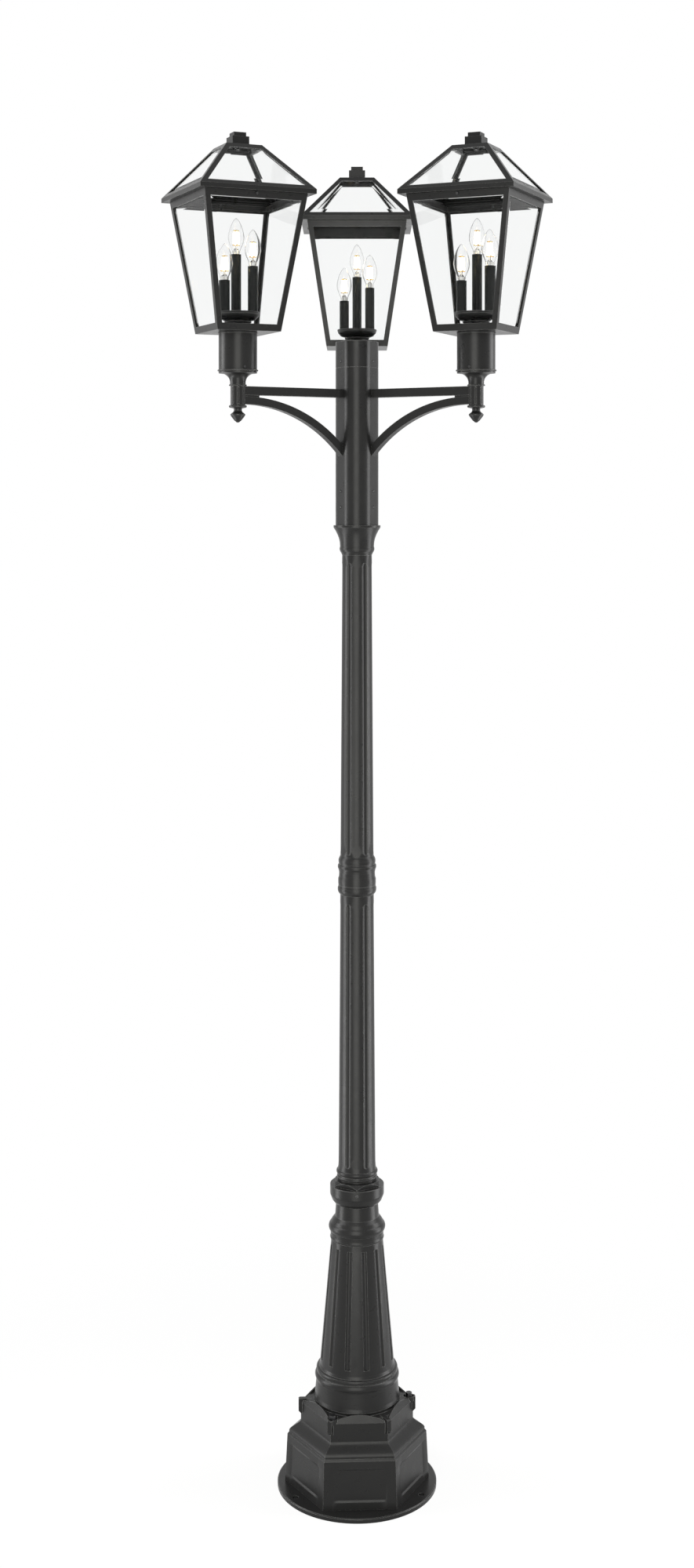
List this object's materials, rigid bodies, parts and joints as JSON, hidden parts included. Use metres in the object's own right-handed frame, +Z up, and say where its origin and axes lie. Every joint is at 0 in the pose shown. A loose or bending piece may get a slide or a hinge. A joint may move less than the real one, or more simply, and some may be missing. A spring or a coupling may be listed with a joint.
{
  "type": "outdoor post light",
  "caption": "Tall outdoor post light: hexagonal cast pedestal, fluted cone and shaft, and a hub with braced arms that carry tapered square glass lanterns with candle bulbs.",
  "frame": {"origin": "on the post's axis, at the underside of the anchor plate", "axes": "+Z up the post, front towards -Y, +X to the right as seen from the front; one arm points to the rear, +Y"},
  "size_m": [0.8814, 0.7681, 3.0682],
  "materials": {
    "black_coat": "satin black powder coat",
    "candle_black": "semi-gloss black",
    "holder_black": "matte",
    "screw_steel": "blackened",
    "sleeve_steel": "plain",
    "bulb_metal": "polished",
    "pane_glass": "clear, bevelled",
    "bulb_glass": "clear"
  },
  "bodies": {
    "post": {"anchor_plate": "black_coat", "hex_pedestal": "black_coat", "pedestal_bolts": "screw_steel", "fluted_cone": "black_coat", "collar_screws": "screw_steel", "lower_shaft": "black_coat", "coupling_sleeve": "sleeve_steel", "upper_shaft": "black_coat", "post_capital": "black_coat", "arm_hub": "black_coat", "hub_cap": "black_coat", "hub_screws": "screw_steel", "left_arm": "black_coat", "right_arm": "black_coat", "rear_arm": "black_coat", "left_pendant": "black_coat", "right_pendant": "black_coat", "rear_pendant": "black_coat"},
    "left_lantern": {"left_frame": "black_coat", "left_side_glass": "pane_glass", "left_fitter": "black_coat", "left_set_screws": "screw_steel", "left_candle_pan": "black_coat", "left_candle_tubes": "candle_black", "left_lampholders": "holder_black", "left_bulb_bases": "bulb_metal", "left_bulb_glass": "bulb_glass", "left_roof_screws": "screw_steel"},
    "left_roof": {"left_roof_frame": "black_coat", "left_roof_glass": "pane_glass", "left_roof_cap": "black_coat", "left_cap_nut": "screw_steel"},
    "right_lantern": {"right_frame": "black_coat", "right_side_glass": "pane_glass", "right_fitter": "black_coat", "right_set_screws": "screw_steel", "right_candle_pan": "black_coat", "right_candle_tubes": "candle_black", "right_lampholders": "holder_black", "right_bulb_bases": "bulb_metal", "right_bulb_glass": "bulb_glass", "right_roof_screws": "screw_steel"},
    "right_roof": {"right_roof_frame": "black_coat", "right_roof_glass": "pane_glass", "right_roof_cap": "black_coat", "right_cap_nut": "screw_steel"},
    "rear_lantern": {"rear_frame": "black_coat", "rear_side_glass": "pane_glass", "rear_fitter": "black_coat", "rear_set_screws": "screw_steel", "rear_candle_pan": "black_coat", "rear_candle_tubes": "candle_black", "rear_lampholders": "holder_black", "rear_bulb_bases": "bulb_metal", "rear_bulb_glass": "bulb_glass", "rear_roof_screws": "screw_steel"},
    "rear_roof": {"rear_roof_frame": "black_coat", "rear_roof_glass": "pane_glass", "rear_roof_cap": "black_coat", "rear_cap_nut": "screw_steel"}
  },
  "joints": [
    {"name": "left_swivel", "type": "hinge", "parent": "post", "child": "left_lantern", "pos_m": [-0.26414, -0.1525, 2.543], "axis": [0, 0, 1], "range_deg": [-90, 90]},
    {"name": "left_roof_lift", "type": "slide", "parent": "left_lantern", "child": "left_roof", "axis": [0, 0, 1], "range_m": [0, 0.2]},
    {"name": "right_swivel", "type": "hinge", "parent": "post", "child": "right_lantern", "pos_m": [0.26414, -0.1525, 2.543], "axis": [0, 0, 1], "range_deg": [-90, 90]},
    {"name": "right_roof_lift", "type": "slide", "parent": "right_lantern", "child": "right_roof", "axis": [0, 0, 1], "range_m": [0, 0.2]},
    {"name": "rear_swivel", "type": "hinge", "parent": "post", "child": "rear_lantern", "pos_m": [0, 0.305, 2.543], "axis": [0, 0, 1], "range_deg": [-90, 90]},
    {"name": "rear_roof_lift", "type": "slide", "parent": "rear_lantern", "child": "rear_roof", "axis": [0, 0, 1], "range_m": [0, 0.2]}
  ]
}
